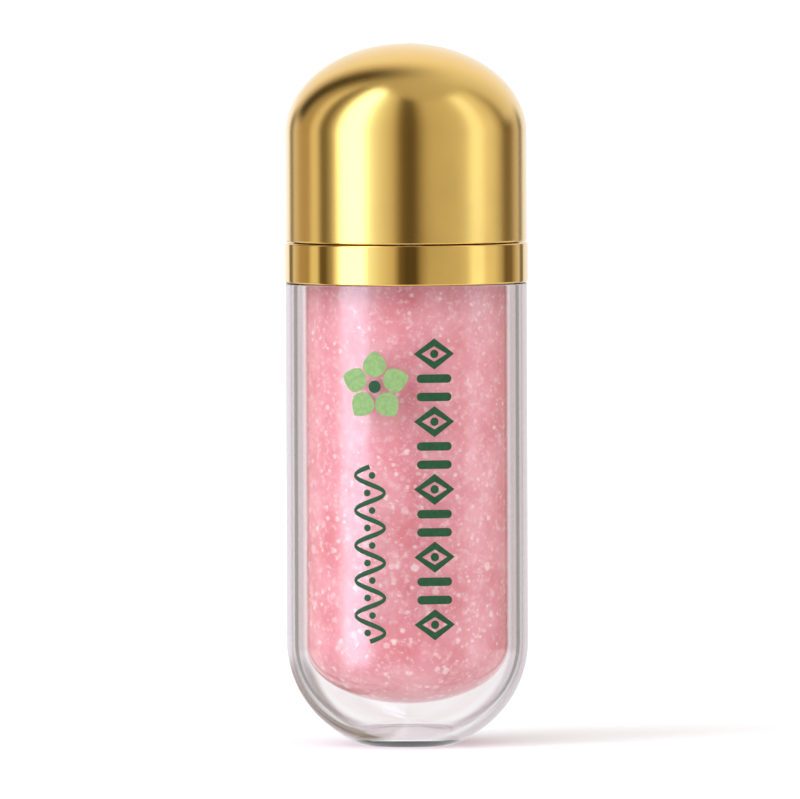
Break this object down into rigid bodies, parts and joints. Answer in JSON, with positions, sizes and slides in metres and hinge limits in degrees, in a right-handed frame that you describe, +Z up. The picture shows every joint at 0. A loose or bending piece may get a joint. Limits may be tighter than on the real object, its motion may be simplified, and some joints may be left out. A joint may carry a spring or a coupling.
{
  "type": "lip gloss tube",
  "caption": "Clear double-walled bottle with a rounded base and a domed screw cap; the cap carries a wand with a flocked slanted tip that draws out through a wiper in the neck.",
  "frame": {"origin": "middle of the flat foot that the bottle stands on, on the bottle's axis", "axes": "+Z up along the axis of bottle, cap and wand; the decorated front faces -Y, +X to its right"},
  "size_m": [0.0242, 0.0242, 0.0698],
  "materials": {
    "clear_shell": "clear moulded plastic, polished",
    "clear_vial": "clear moulded plastic, polished",
    "pink_gloss": "thick translucent pink gel with fine pale flakes",
    "mirror_gold": "gold metallised plastic, mirror bright",
    "soft_white": "soft natural polyethylene",
    "satin_gold": "gold anodised, satin",
    "white_plastic": "white polypropylene",
    "foam": "closed-cell foam washer",
    "stem_plastic": "translucent white polypropylene",
    "core_plastic": "flexible white plastic",
    "flock": "short pale flock fibres",
    "dark_ink": "dark green pad-printed ink",
    "light_ink": "light green pad-printed ink"
  },
  "bodies": {
    "bottle": {"outer_shell": "clear_shell", "inner_vial": "clear_vial", "gloss": "pink_gloss", "collar": "mirror_gold", "wiper": "soft_white"},
    "liner": {"cap_liner": "foam"},
    "stem": {"wand_stem": "stem_plastic"},
    "cap": {"overcap": "satin_gold", "inner_cap": "white_plastic", "applicator_core": "core_plastic", "flocked_tip": "flock"}
  },
  "joints": [
    {"name": "wand_draw", "type": "slide", "parent": "bottle", "child": "liner", "axis": [0, 0, 1], "range_m": [0, 0.056]},
    {"name": "cap_rise", "type": "slide", "parent": "liner", "child": "stem", "axis": [0, 0, 1], "range_m": [0, 0.0032]},
    {"name": "cap_turn", "type": "hinge", "parent": "stem", "child": "cap", "pos_m": [0, 0, 0.055], "axis": [0, 0, 1], "range_deg": [0, 540]}
  ],
  "couplings": [
    {"joint": "cap_rise", "follows": "cap_turn", "m_per_rad": 0.00033423}
  ]
}
